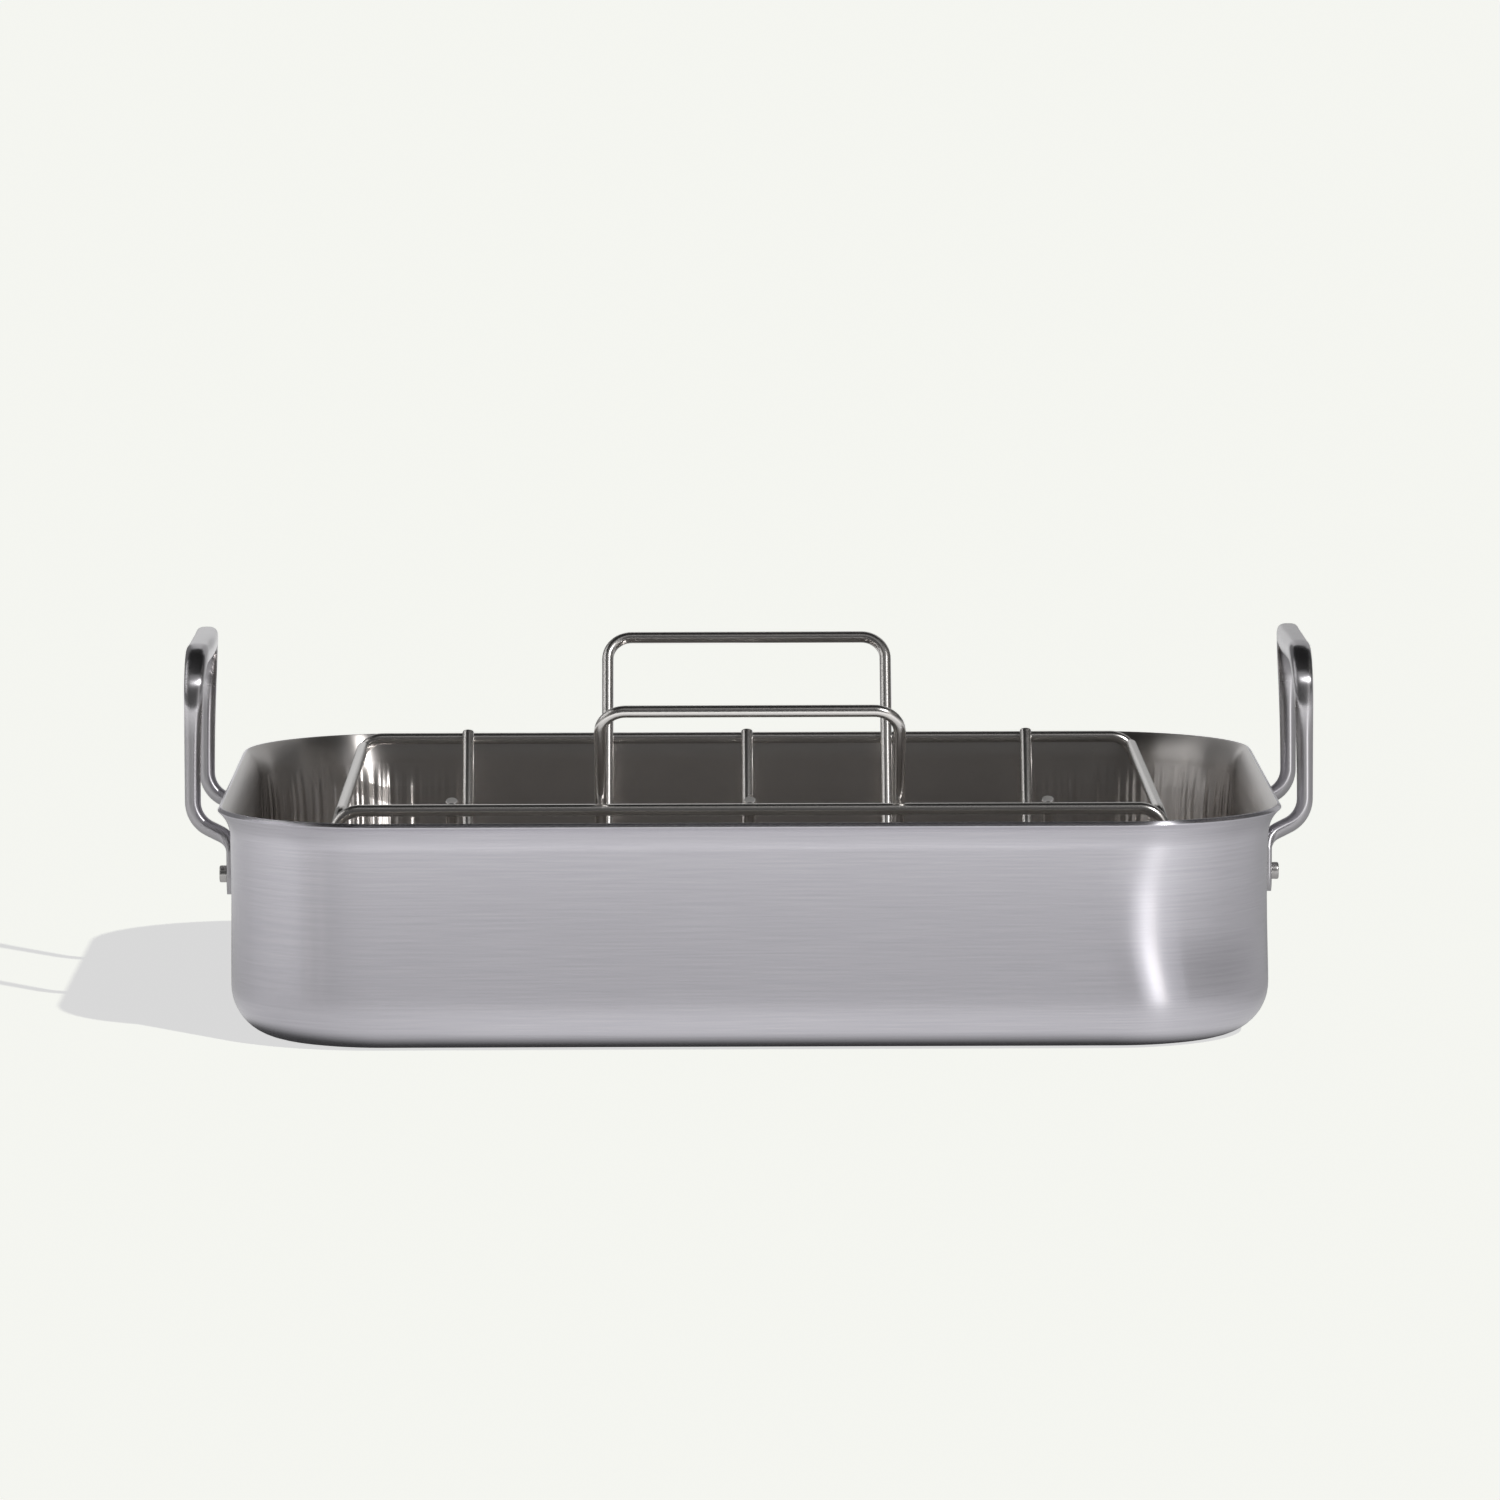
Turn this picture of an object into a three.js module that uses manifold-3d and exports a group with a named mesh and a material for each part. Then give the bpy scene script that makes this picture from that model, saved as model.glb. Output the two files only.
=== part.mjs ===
// A roasting pan of clad stainless sheet with two riveted loop handles and a lift-out rack of welded wire.
// Millimetres and degrees. The origin is on the table under the middle of the pan.
// +X runs along its length and +Z is up.
import * as THREE from 'three';
import { mergeVertices } from 'three/addons/utils/BufferGeometryUtils.js';
import Module from 'manifold-3d';

// Pan
const panLength = 411; // between the outer faces of the end walls
const panWidth = 320; // between the outer faces of the long walls
const panHeight = 91; // from the table to the top of the lip
const sheet = 2.3; // thickness of the clad sheet
const cornerRadius = 62; // of the upright corners, on the outer face
const floorRadius = 20; // between wall and floor, on the outer face
const lipRadius = 13; // of the curve that turns the lip outwards, on the outer face
const lipTurn = 50; // how far the lip leans out from the wall

// Pan handles
const legSpacing = 106; // between the axes of a handle's two legs
const legStandOff = 17.2; // from the end wall to a leg's axis
const legDiameter = 6.4;
const gripWidth = 10; // across the middle of the grip, away from the pan
const gripDepth = 10.5; // down through the middle of the grip
const gripAboveLip = 53.4; // from the top of the lip to the grip's axis
const gripBend = 16; // radius of the bends between legs and grip
const neckBelowLip = 19.1; // from the top of the lip to where the neck leaves the wall
const neckSlope = 27; // of the neck above the level
const neckBend = 7.5; // radius of the bend between foot and neck
const kneeBend = 12; // radius of the bend between neck and leg
const footWidth = 16.5;
const footThickness = 3.6;
const footRounding = 0.45; // of the foot's section: 1 is an ellipse, 0 a rectangle
const gripRounding = 0.8; // of the grip's section

// Rivets
const rivetBelowLip = 33; // from the top of the lip to the rivets' axes
const shankDiameter = 5;
const tailDiameter = 6.8; // on the foot
const tailHeight = 2.5;
const headDiameter = 10; // inside the pan
const headHeight = 1.6;
const rivetEdge = 1; // rounding of the rivet's two ends

// Rack
const wire = 4.8; // diameter of every wire in the rack
const rackEndGap = 42; // from the pan's end wall to the ring
const rackSideGap = 25; // from the pan's long wall to the ring
const ringAboveLip = 1.3; // from the top of the lip to the ring's axis
const ringBend = 14; // radius of the ring's corners
const wireInset = 41.8; // from the ring's end to the axis of the nearest cross wire
const rackLean = 30; // of the rack's sides away from upright
const cradleBend = 13; // radius of the bends between the rack's sides and its bottom
const rackHandleRise = 40.7; // from the ring's axis to the axis of a rack handle's bar
const rackHandleBend = 10; // radius of the rack handles' upper corners
const wireEndRise = 1; // how far a cross wire's cut end stands past its weld

// Clearances
const seatGap = 0.3; // between pieces that bear on each other
const holeGap = 0.3; // round a rivet's shank

// Facets
const cornerSteps = 8; // in each upright corner of the pan
const profileSteps = 6; // in each curve of the pan's wall
const edgeSteps = 4; // in the rounding of an edge
const bendSteps = 6; // in each bend of a wire or handle
const wireSides = 12;
const gripSides = 16;
const rivetSides = 16;
const longestStep = 9; // along a handle

const radians = THREE.MathUtils.degToRad;
const share = THREE.MathUtils.smoothstep;

const brushedSteel = { color: 0xb1b0b4, roughness: 0.34, metalness: 1 };
const polishedSteel = { color: 0xb8b6b3, roughness: 0.14, metalness: 1 };

const wasm = await Module();
wasm.setup();

// The shape as a closed solid that can be cut.
function solidOf(geometry) {
  const bare = geometry.clone();
  bare.deleteAttribute('normal');
  bare.deleteAttribute('uv');
  const merged = mergeVertices(bare);
  return new wasm.Manifold(new wasm.Mesh({
    numProp: 3,
    vertProperties: new Float32Array(merged.attributes.position.array),
    triVerts: new Uint32Array(merged.index.array),
  }));
}

function cut(geometry, cutters) {
  const rest = cutters.reduce((body, cutter) => body.subtract(solidOf(cutter)), solidOf(geometry)).getMesh();
  const result = new THREE.BufferGeometry();
  result.setAttribute('position', new THREE.BufferAttribute(rest.vertProperties, 3));
  result.setIndex(new THREE.BufferAttribute(rest.triVerts, 1));
  return result;
}

function mesh(name, geometry, finish) {
  const part = new THREE.Mesh(geometry, new THREE.MeshStandardMaterial(finish));
  part.name = name;
  return part;
}

function steps(count) {
  return Array.from({ length: count + 1 }, (_, i) => i / count);
}

// A skin over rings of equal count, each wound to the right about the way to the next one.
// An open loft gets flat ends.
function loft(rings, closed) {
  const sides = rings[0].length;
  const index = [];
  rings.forEach((ring, number) => {
    const here = number * sides;
    const next = ((number + 1) % rings.length) * sides;
    if (next === 0 && !closed) return;
    for (let side = 0; side < sides; side += 1) {
      const after = (side + 1) % sides;
      index.push(here + side, here + after, next + after);
      index.push(here + side, next + after, next + side);
    }
  });
  const last = (rings.length - 1) * sides;
  for (let side = 1; side < sides - 1 && !closed; side += 1) {
    index.push(0, side + 1, side);
    index.push(last, last + side, last + side + 1);
  }
  const geometry = new THREE.BufferGeometry().setFromPoints(rings.flat());
  geometry.setIndex(index);
  return geometry;
}

// The points of a path whose corners, given as { at, bend }, are rounded to their bend radius.
function bentPath(corners) {
  return corners.flatMap(({ at, bend }, number) => {
    if (!bend) return [at];
    const before = corners.at(number - 1).at;
    const after = corners[(number + 1) % corners.length].at;
    const back = before.clone().sub(at).normalize();
    const ahead = after.clone().sub(at).normalize();
    const half = back.angleTo(ahead) / 2;
    const centre = back.clone().add(ahead).setLength(bend / Math.sin(half)).add(at);
    const spoke = back.clone().multiplyScalar(bend / Math.tan(half)).add(at).sub(centre);
    const axis = ahead.clone().cross(back).normalize();
    const turn = Math.PI - 2 * half;
    return steps(bendSteps).map((part) => spoke.clone().applyAxisAngle(axis, turn * part).add(centre));
  });
}

// The way of travel at each point of a path, halfway between the runs that meet there.
function headings(path, closed) {
  return path.map((point, number) => {
    const first = number === 0 && !closed;
    const last = number === path.length - 1 && !closed;
    const before = first ? point : path.at(number - 1);
    const after = last ? point : path[(number + 1) % path.length];
    const arriving = point.clone().sub(before).normalize();
    const leaving = after.clone().sub(point).normalize();
    return arriving.add(leaving).normalize();
  });
}

// Rings round a path. The section gives each ring's points in two cross axes,
// which follow the path without twist.
function sweptRings(path, closed, firstAxis, section) {
  const ways = headings(path, closed);
  const axis = firstAxis.clone().projectOnPlane(ways[0]).normalize();
  const turn = new THREE.Quaternion();
  return path.map((point, number) => {
    if (number > 0) axis.applyQuaternion(turn.setFromUnitVectors(ways[number - 1], ways[number]));
    const across = ways[number].clone().cross(axis);
    return section(point).map(([u, v]) => point.clone().addScaledVector(axis, u).addScaledVector(across, v));
  });
}

function circle(radius, sides) {
  return Array.from({ length: sides }, (_, i) => {
    const angle = (2 * Math.PI * i) / sides;
    return [radius * Math.cos(angle), radius * Math.sin(angle)];
  });
}

function bentWire(corners, closed) {
  const round = circle(wire / 2, wireSides);
  return loft(sweptRings(bentPath(corners), closed, new THREE.Vector3(1, 1, 1), () => round), closed);
}

// A level outline with round corners, offset outwards from the pan's outer wall and lifted to a height.
function panOutline([offset, height]) {
  const radius = cornerRadius + offset;
  const centreX = panLength / 2 - cornerRadius;
  const centreY = panWidth / 2 - cornerRadius;
  const corners = [[1, 1], [-1, 1], [-1, -1], [1, -1]];
  return corners.flatMap(([signX, signY], quarter) => steps(cornerSteps).map((part) => {
    const angle = (quarter + part) * (Math.PI / 2);
    return new THREE.Vector3(
      signX * centreX + radius * Math.cos(angle),
      signY * centreY + radius * Math.sin(angle),
      height,
    );
  }));
}

// The wall's profile, from the floor's underside up the outer face, round the lip and down the inner face.
function panProfile() {
  const turn = radians(lipTurn);
  const edge = sheet / 2;
  const lipStart = panHeight - edge - (lipRadius + edge) * Math.sin(turn);
  const arc = (centre, radius, from, to, count) => steps(count).map((part) => {
    const angle = THREE.MathUtils.lerp(from, to, part);
    return [centre[0] + radius * Math.cos(angle), centre[1] + radius * Math.sin(angle)];
  });
  const floorCentre = [-floorRadius, floorRadius];
  const lipCentre = [lipRadius, lipStart];
  const edgeCentre = [
    lipRadius - (lipRadius + edge) * Math.cos(turn),
    lipStart + (lipRadius + edge) * Math.sin(turn),
  ];
  return [
    ...arc(floorCentre, floorRadius, -Math.PI / 2, 0, profileSteps),
    ...arc(lipCentre, lipRadius, Math.PI, Math.PI - turn, profileSteps),
    ...arc(edgeCentre, edge, -turn, Math.PI - turn, edgeSteps).slice(1, -1),
    ...arc(lipCentre, lipRadius + sheet, Math.PI - turn, Math.PI, profileSteps),
    ...arc(floorCentre, floorRadius - sheet, 0, -Math.PI / 2, profileSteps),
  ];
}

const rivetZ = panHeight - rivetBelowLip;
const rivetY = legSpacing / 2;
const headSeat = panLength / 2 - sheet - seatGap; // the rivet head's bearing face
const footFace = panLength / 2 + seatGap; // the foot's face on the wall
const tailSeat = footFace + footThickness + seatGap; // the rivet tail's bearing face

// A drill along X through the foot and the wall behind it, at one rivet of the right-hand end.
function rivetDrill(y) {
  const diameter = shankDiameter + 2 * holeGap;
  const reach = 2 * (tailSeat - headSeat);
  const drill = new THREE.CylinderGeometry(diameter / 2, diameter / 2, reach, rivetSides);
  return drill.rotateZ(Math.PI / 2).translate(footFace, y, rivetZ);
}

function panBody() {
  const drills = [-rivetY, rivetY].flatMap((y) => [rivetDrill(y), rivetDrill(y).rotateZ(Math.PI)]);
  return cut(loft(panProfile().map(panOutline), false), drills);
}

// A solid rivet along X: flat head inside the pan, shank, and a short round tail on the foot.
function rivet() {
  const rounded = (radius, end, way) => steps(edgeSteps).map((part) => {
    const angle = part * (Math.PI / 2);
    const out = radius - rivetEdge + rivetEdge * Math.cos(angle);
    return new THREE.Vector2(out, end + way * rivetEdge * (Math.sin(angle) - 1));
  });
  const headEnd = headSeat - headHeight;
  const tailEnd = tailSeat + tailHeight;
  const profile = [
    new THREE.Vector2(0, headEnd),
    ...rounded(headDiameter / 2, headEnd, -1).reverse(),
    new THREE.Vector2(headDiameter / 2, headSeat),
    new THREE.Vector2(shankDiameter / 2, headSeat),
    new THREE.Vector2(shankDiameter / 2, tailSeat),
    new THREE.Vector2(tailDiameter / 2, tailSeat),
    ...rounded(tailDiameter / 2, tailEnd, 1),
    new THREE.Vector2(0, tailEnd),
  ];
  return new THREE.LatheGeometry(profile, rivetSides).rotateZ(-Math.PI / 2);
}

const footX = footFace + footThickness / 2;
const legX = panLength / 2 + legStandOff;
const legY = legSpacing / 2;
const neckZ = panHeight - neckBelowLip;
const kneeZ = neckZ + (legX - footX) * Math.tan(radians(neckSlope));
const gripZ = panHeight + gripAboveLip;
const footEnd = footWidth / 2; // the foot's round end is centred on its rivet

// One handle path from foot to foot, with extra points where the section changes along a straight run.
function handlePath() {
  const at = (x, y, z) => new THREE.Vector3(x, y, z);
  const tip = (y) => steps(edgeSteps + 1).slice(1).map((part) => (
    at(footX, y, rivetZ - footEnd * Math.cos(part * (Math.PI / 2)))
  ));
  const half = (y) => [
    { at: at(footX, y, rivetZ) },
    { at: at(footX, y, neckZ), bend: neckBend },
    { at: at(legX, y, kneeZ), bend: kneeBend },
    { at: at(legX, y, gripZ), bend: gripBend },
  ];
  const bends = bentPath([...half(-legY), ...half(legY).reverse()]);
  const whole = [...tip(-legY), ...bends.slice(1, -1), ...tip(legY).reverse()];
  return whole.flatMap((point, number) => {
    if (number === 0) return [point];
    const before = whole[number - 1];
    const count = Math.ceil(before.distanceTo(point) / longestStep);
    return steps(count).slice(1).map((part) => before.clone().lerp(point, part));
  });
}

// The handle's section: a flat foot, a round leg, and a fuller grip that grows towards the pan.
function handleSection({ y, z }) {
  const legFoot = kneeZ + kneeBend / 2;
  const neckStart = neckZ - neckBend / 2;
  const flat = 1 - share(z, neckStart, neckStart + legDiameter);
  const full = share((z - legFoot) + (legY - Math.abs(y)), 0, (gripZ - legFoot) + legY);
  const below = Math.max(0, rivetZ - z);
  const footHalf = Math.sqrt(footEnd ** 2 - below ** 2);
  const leg = legDiameter / 2;
  const inset = full * (gripWidth / 2 - leg); // keeps the outer face upright while the grip grows
  const out = leg + inset + flat * (footThickness / 2 - leg);
  const along = leg + flat * (footHalf - leg) + full * (gripDepth / 2 - leg);
  const rounding = 1 + flat * (footRounding - 1) + full * (gripRounding - 1);
  const fill = (value) => Math.sign(value) * Math.abs(value) ** rounding;
  return circle(1, gripSides).map(([u, v]) => [out * fill(u) - inset, along * fill(v)]);
}

function handle() {
  const rings = sweptRings(handlePath(), false, new THREE.Vector3(1, 0, 0), handleSection);
  return cut(loft(rings, false), [-rivetY, rivetY].map(rivetDrill));
}

// One end of the pan, modelled at +X: a handle with its two rivets.
function panEnd(side, nearRivet, farRivet) {
  const end = new THREE.Group();
  const near = mesh(`${side}_${nearRivet}_rivet`, rivet(), brushedSteel);
  const far = mesh(`${side}_${farRivet}_rivet`, rivet(), brushedSteel);
  near.position.set(0, -rivetY, rivetZ);
  far.position.set(0, rivetY, rivetZ);
  end.add(mesh(`${side}_handle`, handle(), brushedSteel), near, far);
  return end;
}

const ringX = panLength / 2 - sheet - rackEndGap - wire / 2;
const ringY = panWidth / 2 - sheet - rackSideGap - wire / 2;
const ringZ = panHeight + ringAboveLip;
const wirePitch = (ringX - wireInset) / 2; // five evenly spaced wires cross the rack
const lean = radians(rackLean);
const weldY = ringY - (wire + seatGap) * Math.cos(lean); // a cross wire's axis where it passes the ring
const weldZ = ringZ + (wire + seatGap) * Math.sin(lean);
const bottomZ = sheet + seatGap + wire / 2; // axis of the wires on the pan's floor

// The distance from the middle at which the leaning side of the rack passes a height.
function sideY(z) {
  return weldY + (z - weldZ) * Math.tan(lean);
}

function rackRing() {
  const corners = [[1, 1], [-1, 1], [-1, -1], [1, -1]];
  return bentWire(corners.map(([signX, signY]) => (
    { at: new THREE.Vector3(signX * ringX, signY * ringY, ringZ), bend: ringBend }
  )), true);
}

function crossWire(x) {
  const at = (y, z) => new THREE.Vector3(x, y, z);
  const endZ = weldZ + wireEndRise * Math.cos(lean);
  return bentWire([
    { at: at(-sideY(endZ), endZ) },
    { at: at(-sideY(bottomZ), bottomZ), bend: cradleBend },
    { at: at(sideY(bottomZ), bottomZ), bend: cradleBend },
    { at: at(sideY(endZ), endZ) },
  ], false);
}

function rackHandleWire() {
  const barZ = ringZ + rackHandleRise;
  const top = (x, sign) => ({ at: new THREE.Vector3(x, sign * sideY(barZ), barZ), bend: rackHandleBend });
  const low = (x, sign) => ({ at: new THREE.Vector3(x, sign * sideY(bottomZ), bottomZ), bend: cradleBend });
  return bentWire([
    top(wirePitch, -1), low(wirePitch, -1), low(wirePitch, 1), top(wirePitch, 1),
    top(-wirePitch, 1), low(-wirePitch, 1), low(-wirePitch, -1), top(-wirePitch, -1),
  ], true);
}

function rack() {
  const group = new THREE.Group();
  group.add(
    mesh('rack_ring', rackRing(), polishedSteel),
    mesh('rack_left_wire', crossWire(-2 * wirePitch), polishedSteel),
    mesh('rack_centre_wire', crossWire(0), polishedSteel),
    mesh('rack_right_wire', crossWire(2 * wirePitch), polishedSteel),
    mesh('rack_handle_wire', rackHandleWire(), polishedSteel),
  );
  return group;
}

const rightEnd = panEnd('right', 'front', 'back');
const leftEnd = panEnd('left', 'back', 'front');
leftEnd.rotation.z = Math.PI;

const roastingPan = new THREE.Group();
roastingPan.add(mesh('pan_body', panBody(), brushedSteel), rightEnd, leftEnd, rack());

export default roastingPan;
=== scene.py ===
import math

import bmesh
import bpy
from mathutils import Matrix, Vector


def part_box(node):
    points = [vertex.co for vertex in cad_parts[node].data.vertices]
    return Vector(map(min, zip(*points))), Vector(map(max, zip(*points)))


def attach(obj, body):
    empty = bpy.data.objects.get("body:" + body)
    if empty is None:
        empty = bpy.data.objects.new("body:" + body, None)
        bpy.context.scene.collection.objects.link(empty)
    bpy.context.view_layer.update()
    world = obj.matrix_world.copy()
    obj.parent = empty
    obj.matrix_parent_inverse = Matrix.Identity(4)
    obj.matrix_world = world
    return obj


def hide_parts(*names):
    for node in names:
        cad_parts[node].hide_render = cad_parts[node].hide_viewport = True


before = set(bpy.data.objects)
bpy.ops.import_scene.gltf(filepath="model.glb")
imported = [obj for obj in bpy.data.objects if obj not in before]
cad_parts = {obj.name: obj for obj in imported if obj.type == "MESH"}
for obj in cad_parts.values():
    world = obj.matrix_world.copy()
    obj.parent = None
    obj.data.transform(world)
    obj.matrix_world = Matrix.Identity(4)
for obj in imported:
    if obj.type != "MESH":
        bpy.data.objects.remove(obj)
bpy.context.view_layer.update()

# Pan body: one tray, deep-drawn from clad stainless sheet, with its lip flared outwards for pouring.
# The outside is brushed along the walls, the inside is polished, and the sheet's cut edge is ground
# flat with its two corners broken.
mm = 0.001
pan_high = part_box("pan_body")[1]
sheet = 2.3 * mm
corner_radius = 62 * mm  # upright corners, on the outer face
floor_radius = 20 * mm  # between wall and floor, on the outer face
lip_radius = 13 * mm  # of the curve that turns the lip out, on the outer face
lip_turn = 50  # degrees that the lip leans out from the wall
lip_reach = 5.05 * mm  # from the wall to the lip's outermost point
edge_break = 0.5 * mm  # radius on the two corners of the cut edge
eased_by = 8 * mm  # growth of a corner's radius at mid-height, in all but the front left one
ease_start, ease_wane, ease_end = 0.1, 0.75, 1.15  # shares of the height where the lip starts
ease_full_front, ease_full_back = 0.6, 0.3
corner_steps = 32
arc_steps = 14
edge_steps = 4
wall_cuts = 7  # in each straight run of wall, between a corner and the middle
wall_rings = 14  # up the wall, between floor and lip
wall_hollow = 0.3 * mm  # of the walls between floor and lip, where the drawn sheet springs in
floor_border = 6 * mm
weld_distance = 0.001 * mm  # vertices no further apart than this are one

half_length = pan_high.x - lip_reach
half_width = pan_high.y - lip_reach
corner = Vector((half_length - corner_radius, half_width - corner_radius, 0))
lip_rise = (lip_radius + sheet - edge_break) * math.sin(math.radians(lip_turn)) + edge_break
lip_start = pan_high.z - lip_rise


def linear(colour):
    """The linear colour of an sRGB hex value such as "B4B3B8"."""
    shares = [int(colour[place:place + 2], 16) / 255 for place in (0, 2, 4)]
    return [s / 12.92 if s <= 0.04045 else ((s + 0.055) / 1.055) ** 2.4 for s in shares] + [1]


def add(tree, kind, settings=None, **inputs):
    """A shader node of this kind, with its settings, and values or links for its sockets. A socket goes by
    its name, or by its number after an underscore where others share its name."""
    made = tree.nodes.new("ShaderNode" + kind)
    for name, value in (settings or {}).items():
        setattr(made, name, value)
    for name, value in inputs.items():
        socket = made.inputs[int(name[1:]) if name[0] == "_" else name.replace("_", " ")]
        if isinstance(value, bpy.types.NodeSocket):
            tree.links.new(value, socket)
        else:
            socket.default_value = value
    return made


def finish(name):
    """A new material and its empty node tree."""
    made = bpy.data.materials.new(name)
    made.use_nodes = True
    made.node_tree.nodes.clear()
    return made, made.node_tree


def level(tree):
    """The level direction along a surface, which the brushing of the sheet follows. Flat on the floor it is
    the pan's length."""
    lengthwise = (0.001, 0, 0)
    facing = add(tree, "NewGeometry").outputs["Normal"]
    along = add(tree, "VectorMath", {"operation": "CROSS_PRODUCT"}, _0=(0, 0, 1), _1=facing)
    return add(tree, "VectorMath", {"operation": "ADD"}, _0=along.outputs[0], _1=lengthwise).outputs[0]


def brushed_steel():
    """Brushed stainless steel: fine lines along the wall spread highlights up and down, and keep them
    narrow from side to side. The real lines are about 0.1 mm apart, too fine to show, so they are drawn
    at about 0.6 mm."""
    line_pitch = 0.6 * mm
    line_length = 40 * mm
    cloud_size = 45 * mm
    made, tree = finish("brushed_stainless_steel")
    place = add(tree, "TexCoord").outputs["Object"]
    drawn = add(tree, "Mapping", Vector=place, Scale=(1 / line_length, 1 / line_length, 1 / line_pitch))
    lines = add(tree, "TexNoise", Vector=drawn.outputs[0], Scale=1, Detail=3, Roughness=0.6).outputs[0]
    clouds = add(tree, "TexNoise", Vector=place, Scale=1 / cloud_size, Detail=2, Roughness=0.5).outputs[0]
    rough = add(tree, "MapRange", Value=lines, From_Min=0.25, From_Max=0.75, To_Min=0.255, To_Max=0.27)
    tone = add(tree, "MixRGB", {"blend_type": "MIX"}, Fac=clouds, Color1=linear("D3D1D7"),
               Color2=linear("D7D5DB"))
    streak = add(tree, "MapRange", Value=lines, From_Min=0.3, From_Max=0.7, To_Min=0.0, To_Max=1.0)
    shade = add(tree, "MixRGB", {"blend_type": "MULTIPLY"}, Fac=streak.outputs[0], Color1=tone.outputs[0],
                Color2=linear("F7F7F8"))
    steel = add(tree, "BsdfPrincipled", Base_Color=shade.outputs[0], Metallic=1, Roughness=rough.outputs[0],
                Anisotropic=0.93, Anisotropic_Rotation=0.25, Tangent=level(tree))
    add(tree, "OutputMaterial", Surface=steel.outputs[0])
    return made


def polished_steel():
    """Polished stainless steel, as drawn and buffed inside: fine lines along the wall blur it up and down,
    and hardly from side to side. The real lines are about 0.1 mm apart, drawn at about 1.5 mm to show.
    Drawing the corners left upright ripples there, about 4 mm wide, which end short of lip and floor."""
    line_pitch = 1.5 * mm
    line_length = 80 * mm
    ripple_width = 4 * mm
    ripple_depth = 1.1 * mm
    ripple_fade = 35 * mm  # along the walls, from the corners
    ripple_change = 400 * mm  # over which the ripples change, along themselves and between corners
    made, tree = finish("polished_stainless_steel")
    place = add(tree, "TexCoord").outputs["Object"]
    drawn = add(tree, "Mapping", Vector=place, Scale=(1 / line_length, 1 / line_length, 1 / line_pitch))
    lines = add(tree, "TexNoise", Vector=drawn.outputs[0], Scale=1, Detail=2, Roughness=0.5).outputs[0]
    rough = add(tree, "MapRange", Value=lines, From_Min=0.3, From_Max=0.7, To_Min=0.3, To_Max=0.31)
    quarter = add(tree, "VectorMath", {"operation": "ABSOLUTE"}, _0=place).outputs[0]
    apart = add(tree, "SeparateXYZ", Vector=quarter).outputs
    slow = add(tree, "Mapping", Vector=place, Scale=[1 / ripple_change] * 3).outputs[0]
    spoke = quarter
    for operation, other in (("SUBTRACT", corner), ("MULTIPLY", (1, 1, 0)), ("NORMALIZE", (0, 0, 0)),
                             ("MULTIPLY", [corner_radius / ripple_width] * 3), ("ADD", slow)):
        spoke = add(tree, "VectorMath", {"operation": operation}, _0=spoke, _1=other).outputs[0]
    height = add(tree, "TexNoise", Vector=spoke, Scale=1, Detail=1, Roughness=0.5).outputs[0]
    for way, low, high in (("X", corner.x - ripple_fade, corner.x), ("Y", corner.y - ripple_fade, corner.y),
                           ("Z", lip_start, lip_start - floor_radius / 2),
                           ("Z", floor_radius / 4, floor_radius)):
        share = add(tree, "MapRange", Value=apart[way], From_Min=low, From_Max=high).outputs[0]
        height = add(tree, "Math", {"operation": "MULTIPLY"}, _0=height, _1=share).outputs[0]
    relief = add(tree, "Bump", Strength=1, Distance=ripple_depth, Height=height)
    steel = add(tree, "BsdfPrincipled", Base_Color=linear("CBC7C4"), Metallic=1, Roughness=rough.outputs[0],
                Anisotropic=1, Anisotropic_Rotation=0.25, Tangent=level(tree), Normal=relief.outputs[0])
    add(tree, "OutputMaterial", Surface=steel.outputs[0])
    return made


def arc(centre, radius, start, turn, steps):
    """Points of an arc, as (out, up) pairs, from a start angle through a turn in degrees."""
    angles = [math.radians(start + turn * step / steps) for step in range(steps + 1)]
    return [(centre[0] + radius * math.cos(a), centre[1] + radius * math.sin(a)) for a in angles]


def eased(value, low, high):
    """0 below low, 1 above high, and a smooth step between them."""
    share = min(max((value - low) / (high - low), 0), 1)
    return share * share * (3 - 2 * share)


def wall(out, up):
    """A point of the wall's outline, drawn in by its share of the hollow, which is deepest below the lip."""
    share = (up - floor_radius) / (lip_start - floor_radius)
    return out - wall_hollow * 27 / 4 * share ** 2 * (1 - share), up


def tray_skin(mesh, outline, side):
    """One skin over a quarter of the tray: an upright outline spun round the corner and drawn on along
    both walls to the middle."""
    before = set(mesh.faces)
    verts = [mesh.verts.new((corner.x + corner_radius + out, corner.y, up)) for out, up in outline]
    near = [mesh.edges.new(pair) for pair in zip(verts, verts[1:])]
    spun = bmesh.ops.spin(mesh, geom=verts + near, cent=corner, axis=(0, 0, 1), angle=math.pi / 2,
                          steps=corner_steps)
    far = [part for part in spun["geom_last"] if isinstance(part, bmesh.types.BMEdge)]
    for edges, axis in ((near, 1), (far, 0)):
        drawn = bmesh.ops.extrude_edge_only(mesh, edges=edges)["geom"]
        ends = [part for part in drawn if isinstance(part, bmesh.types.BMVert)]
        for vert in ends:
            vert.co[axis] = 0
        runs = {edge for vert in ends for edge in vert.link_edges if edge.other_vert(vert) not in ends}
        bmesh.ops.subdivide_edges(mesh, edges=list(runs), cuts=wall_cuts, use_grid_fill=True)
    for face in set(mesh.faces) - before:
        face.material_index = side


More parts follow.
